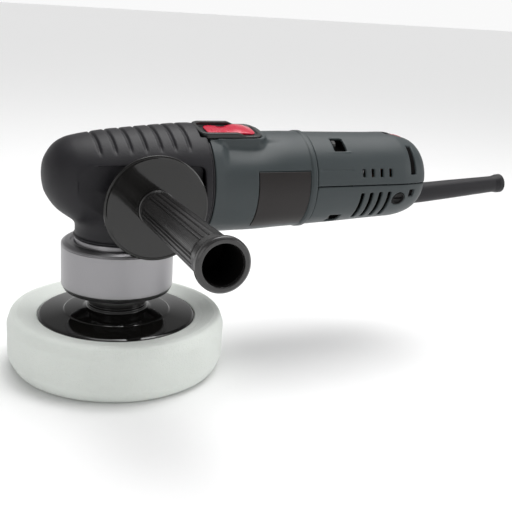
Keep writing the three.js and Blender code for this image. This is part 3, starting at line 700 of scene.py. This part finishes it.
def rear_field(x, y, z):
    """Both rear covers before they are split: the shell, its screw pads and every opening."""
    mirrored = -np.abs(y)
    skin = oval(x, y, z, COVER)
    cavity = oval(x, y, z, [*COVER[:-2], (COVER_END - WALL, *COVER[-1][1:])], -WALL)
    cavity = np.maximum(cavity, x - COVER_END + WALL)
    spigot = np.maximum(np.hypot(y, z - 130) - 33.25, x - 139)
    angle = np.degrees(np.arctan2(z - MOTOR_Z, np.abs(y)))
    fine_line = 0.5 * np.exp(-((z - 142) / 0.55) ** 2) * step(138, 140, x) * (1 - step(163, 167, x))
    body = smooth_max(skin + fine_line, -np.minimum(cavity, spigot), 0.5)
    for degrees in (60, -60):
        out, side = about_motor(mirrored, z, degrees)
        towards_side = -side if degrees < 0 else side
        pad = block(x, out, towards_side, (145, 25.2, -10.4), (166, 32.3, 5.6), 0.4)
        pocket = block(x, out, towards_side, (152.6, 26.6, -9), (162.4, 45, 4.2), 1)
        hole = np.maximum(np.hypot(out - 30.2, side) - 2.2, x - 154)
        body = smooth_max(np.minimum(body, pad), -np.minimum(pocket, hole), 0.6)
    openings = []
    out, side = about_motor(mirrored, z, VENT_ANGLES["slot"])
    for start in (172.8, 180.4, 188, 195.6):
        openings.append(block(x, out, side, (start, 26, -3), (start + 2.4, 45, 3), 0.5))
    out, side = about_motor(mirrored, z, VENT_ANGLES["louvre"])
    for start in (173, 180.7, 188.4, 196.1):
        openings.append(block(x, out, side, (start, 26, -12.5), (start + 3, 45, 12.5), 0.9))
    for turn in (BRUSH_ANGLE, 180 + BRUSH_ANGLE):
        out, side = about_motor(y, z, turn)
        openings.append(np.maximum(np.hypot(x - BRUSH_X, side) - 5.5, 20 - out))
    from_sleeve, along = along_sleeve(x, y, z)
    openings.append(np.maximum(from_sleeve - 8.6, np.abs(along - 1) - 19))
    openings.append(np.maximum(from_sleeve - 9.7, np.abs(along + 20.9) - 2.1))
    openings.append(block(x, y, z, (204.5, -5.6, 148), (226.5, 5.6, 190), 0.8))
    for middle, reach in ((33.5, 21.5), (-14.5, 5.5)):
        band = np.maximum(np.abs(x - 217.5) - 2.3, (np.abs(angle - middle) - reach) * 0.55)
        openings.append(smooth_max(band, -1.7 - skin, 0.4))
    return smooth_max(body, -np.minimum.reduce(openings), 0.6)


def rear_covers():
    for name, sign in (("upper", 1), ("lower", -1)):
        low, high = box_mm(f"rear_cover_{name}")

        def half(x, y, z):
            gap = 0.03 + (SEAM / 2 - 0.03) * step(-1.7, -1.1, oval(x, y, z, COVER))
            return smooth_max(rear_field(x, y, z), gap - sign * (z - COVER_SPLIT_Z), 0.5)

        cover = piece(f"rear_cover_{name}_moulded", field_mesh(half, low, high, SHELL_GRID),
                      MATERIALS["grey_plastic"], "housing", [f"rear_cover_{name}"])
        # Faces deep inside the shell, in the vents, pockets, seats and the hollow, get the shadow material:
        # painted shade, though the real inside is the same grey plastic.
        cover.data.materials.append(MATERIALS["shadow"])
        centres = np.array([face.center for face in cover.data.polygons]) / MM
        inside = oval(*centres.T, COVER) < -PAINTED_SHADE_DEPTH
        cover.data.polygons.foreach_set("material_index", inside.astype(np.int32))
    # Black sheets under the two rear slots: painted shade seen through the openings.
    floor = shell_radius(COVER, -0.9)
    for name, ends in (("left", (13.2, 53.8)), ("right", (166.8, 126.2))):
        points, faces = curved_plate(215.5, 219.5, *ends, floor, 0.6, (6, 30))
        if name == "right":
            faces = [face[::-1] for face in faces]
        piece(f"rear_slot_shade_sheet_{name}", (points, faces), MATERIALS["shadow"], "housing")


def brush_caps():
    """Threaded caps with a screwdriver slot."""
    radius, floor, top = 5.2, 28.7, 32.3

    for name, angle in (("left", BRUSH_ANGLE), ("right", 180 + BRUSH_ANGLE)):
        def cap(x, y, z):
            out, side = about_motor(y, z, angle)
            height = (top - floor) / 2
            from_middle = np.hypot(x - BRUSH_X, side)
            wheel = smooth_max(from_middle - radius, np.abs(out - floor - height) - height, 0.7)
            dish = np.maximum(from_middle - 4.2, top - 1.2 - out)
            slot = block(x, side, out, (BRUSH_X - 4, -0.7, top - 2.4), (BRUSH_X + 4, 0.7, 36), 0.2)
            return smooth_max(wheel, -np.minimum(dish, slot), 0.3)

        low, high = box_mm(f"brush_cap_{name}")
        piece(f"brush_cap_{name}_slotted", field_mesh(cap, low, high, 0.28), MATERIALS["matt_black"],
              "housing", [f"brush_cap_{name}"])


def speed_dial():
    """A red thumbwheel with a knurled edge."""
    low, high = box_mm("speed_dial")
    half, radius = (high[1] - low[1]) / 2, (high[0] - low[0]) / 2

    teeth, depth = 30, 0.4

    def knurl(r, h, angle):
        cut = np.where(r > radius - 0.6, depth * (0.5 + 0.5 * np.cos(teeth * angle)), 0)
        return r - cut, np.full_like(angle, h)

    profile = filleted([(2.3, -half, 0.2), (radius, -half, 0.7), (radius, half, 0.7), (2.3, half, 0.2)])
    points, faces = revolved(refined(profile, 3), 240, knurl)
    piece("speed_dial_knurled", (placed(points, "-Y", (DIAL_X, 0, DIAL_Z)), faces), MATERIALS["red_plastic"],
          "dial", ["speed_dial"], sharp=45)


def cord_sleeve():
    """The rubber sleeve that stiffens the end of the cord, with an open bore."""
    bore = 3.8
    profile = filleted([
        (bore, -22, 0.2), (9, -22, 0.3), (9, -19.4, 0.3), (7.9, -19, 0.2), (7.9, 2, 0.6), (7.5, 28, 20),
        (6.7, 64, 8), (6.6, 70, 4), (7.5, 74, 2), (7.6, 78, 0.8), (bore, 78, 0.6),
    ])
    points, faces = revolved(refined(profile, 5), 64)
    piece("cord_sleeve_moulded", (placed(points, "sleeve", (SLEEVE_X, 0, SLEEVE_Z)), faces),
          MATERIALS["rubber"], "housing", ["cord_sleeve"], sharp=50)


# ---- Side handle ----
KNURL_MIDDLE = math.radians(150)  # a knurled face, round from +X towards +Z
FACES = 4  # knurled faces round the grip
GROOVES = (20, 29.5, 45)  # degrees to each side of a knurled face's middle


def handle_guard():
    back, front = -GUARD_BACK, -GUARD_FACE
    profile = filleted([
        (4.4, back, 0.2), (34.9, back, 0.6), (35.4, back + 1.2, 0.5), (35.3, front - 0.5, 0.5),
        (34.2, front, 0.5), (33.2, front - 0.35, 0.4), (14, front - 0.1, 0.2), (4.4, front - 0.1, 0.2),
    ])
    points, faces = revolved(refined(profile, 6), 160)
    piece("handle_guard_disc", (placed(points, "-Y", (HANDLE_X, 0, HANDLE_Z)), faces),
          MATERIALS["gloss_black"], "housing", ["handle_guard"], sharp=50)


def handle_grip():
    """A tapered grip: knurled faces between pairs of ribs, a smooth flared end and a deep hollow."""
    root, end = -GRIP_ROOT, -GRIP_END
    bottom, bore = end - 34, 11.6
    ribs_start, ribs_end = root + 4, end - 15
    span = 360 / FACES

    def relief(r, h, angle):
        outer = r > bore + 0.4 and root + 1.5 < h < end - 5
        ends = step(ribs_start, ribs_start + 3, h) * (1 - step(ribs_end - 3, ribs_end, h))
        along = float(ends) if outer else 0
        local = (np.degrees(angle - KNURL_MIDDLE) + span / 2) % span - span / 2
        depth = np.zeros_like(angle)
        for groove in GROOVES:
            depth = np.maximum(depth, 1.1 * np.exp(-((np.abs(local) - groove) / 2.1) ** 2))
        knurled = np.abs(local) < 17
        ridges = 0.16 * (0.5 + 0.5 * np.cos(np.radians(local) * 110)) + 0.16 * (0.5 + 0.5 * math.cos(h * 4.2))
        depth = np.maximum(depth, np.where(knurled, 0.25 + ridges, 0))
        return r - along * depth, np.full_like(angle, h)

    outside = refined(filleted([
        (4.3, root, 0.2), (12.9, root, 0.4), (12.9, root + 1.3, 0.5), (12.2, root + 1.6, 0.3),
        (12.5, root + 10, 30), (13.4, end - 17, 20), (14.1, end - 8, 6), (16, end - 4, 3),
        (15.9, end - 1.2, 1), (14.6, end, 0.8), (12.3, end, 0.8), (bore, end - 4, 3),
        (bore, bottom, 1.5), (0, bottom, 0),
    ], closed=False), 0.75, closed=False)
    core = [(0, root + 38), (4.3, root + 38), *outside]
    points, faces = revolved(core, 360, relief)
    grip = piece("handle_grip_moulded", (placed(points, "-Y", (HANDLE_X, 0, HANDLE_Z)), faces),
                 MATERIALS["grip_black"], "housing", ["handle_grip"])
    # Faces down the bore get the shadow material: painted shade in the hollow.
    grip.data.materials.append(MATERIALS["shadow"])
    for face in grip.data.polygons:
        centre = face.center / MM
        from_axis = math.hypot(centre.x - HANDLE_X, centre.z - HANDLE_Z)
        if from_axis < bore + 0.3 and centre.y < -bottom + 1:
            face.material_index = 1


# ---- Camera, light and floor ----
def camera():
    """A studio camera in front and to the left, a little above the motor."""
    azimuth, elevation, roll = (math.radians(value) for value in (-23.84, 16.76, 3.78))
    target, distance = Vector((106.37, 0, 70.68)) * MM, 641.57 * MM
    back = Vector((math.sin(azimuth) * math.cos(elevation), -math.cos(azimuth) * math.cos(elevation),
                   math.sin(elevation)))
    right = Vector((math.cos(azimuth), math.sin(azimuth), 0))
    up = back.cross(right)
    turned_right = right * math.cos(roll) + up * math.sin(roll)
    turned_up = up * math.cos(roll) - right * math.sin(roll)
    data = bpy.data.cameras.new("camera")
    data.sensor_width = 36
    data.lens = 59.77
    data.clip_start = 0.01
    obj = bpy.data.objects.new("camera", data)
    rotation = Matrix((turned_right, turned_up, back)).transposed().to_4x4()
    obj.matrix_world = Matrix.Translation(target + back * distance) @ rotation
    bpy.context.scene.collection.objects.link(obj)
    bpy.context.scene.camera = obj


def area_light(name, place, aim, size, power, colour=(1, 1, 1)):
    data = bpy.data.lights.new(name, "AREA")
    data.shape = "RECTANGLE"
    data.size, data.size_y = size
    data.energy = power
    data.color = colour
    obj = bpy.data.objects.new(name, data)
    obj.location = place
    obj.rotation_euler = (Vector(aim) - Vector(place)).to_track_quat("-Z", "Y").to_euler()
    bpy.context.scene.collection.objects.link(obj)


def studio():
    """A white floor under a pale sky, with soft lights above, at the left and at the right."""
    mesh = bpy.data.meshes.new("floor")
    half = 12
    corners = [(-half, -half, 0), (half, -half, 0), (half, half, 0), (-half, half, 0)]
    mesh.from_pydata(corners, [], [(0, 1, 2, 3)])
    floor = bpy.data.objects.new("floor", mesh)
    floor.location.z = -0.0002
    mesh.materials.append(material("floor", (0.97, 0.97, 0.97), 0.85, mottle=0.01, spread=0.03, grain=0.02,
                                   grain_scale=200, specular=0.1))
    bpy.context.scene.collection.objects.link(floor)
    world = bpy.data.worlds.new("studio")
    world.use_nodes = True
    nodes, links = world.node_tree.nodes, world.node_tree.links
    nodes["Background"].inputs["Color"].default_value = (1, 1, 1, 1)
    place = nodes.new("ShaderNodeTexCoord")
    parts = nodes.new("ShaderNodeSeparateXYZ")
    links.new(place.outputs["Generated"], parts.inputs["Vector"])
    fade = nodes.new("ShaderNodeMapRange")
    fade.inputs["From Min"].default_value = 0.02
    fade.inputs["From Max"].default_value = 0.42
    fade.inputs["To Min"].default_value = 0.95
    fade.inputs["To Max"].default_value = 0.24
    links.new(parts.outputs["Z"], fade.inputs["Value"])
    links.new(fade.outputs["Result"], nodes["Background"].inputs["Strength"])
    bpy.context.scene.world = world
    sky = bpy.data.lights.new("overhead_light", "SUN")
    sky.energy = 1.75
    sky.angle = math.radians(60)
    obj = bpy.data.objects.new("overhead_light", sky)
    obj.rotation_euler = (math.radians(-14), math.radians(16), 0)
    bpy.context.scene.collection.objects.link(obj)
    aim = (0.08, 0, 0.1)
    area_light("top_light", (0.25, 0.1, 1.1), aim, (0.8, 0.5), 5)
    area_light("left_light", (-1.1, -0.9, 0.7), aim, (0.6, 0.8), 1.8)
    area_light("right_light", (1.2, -0.7, 0.6), aim, (0.6, 0.8), 3.2)


bpy.context.scene.view_settings.view_transform = "Standard"
camera()
studio()
finish_cad_nodes()
foam_pad()
backing_plate()
shroud()
gear_head()
motor_housing()
rear_covers()
brush_caps()
speed_dial()
cord_sleeve()
handle_guard()
handle_grip()
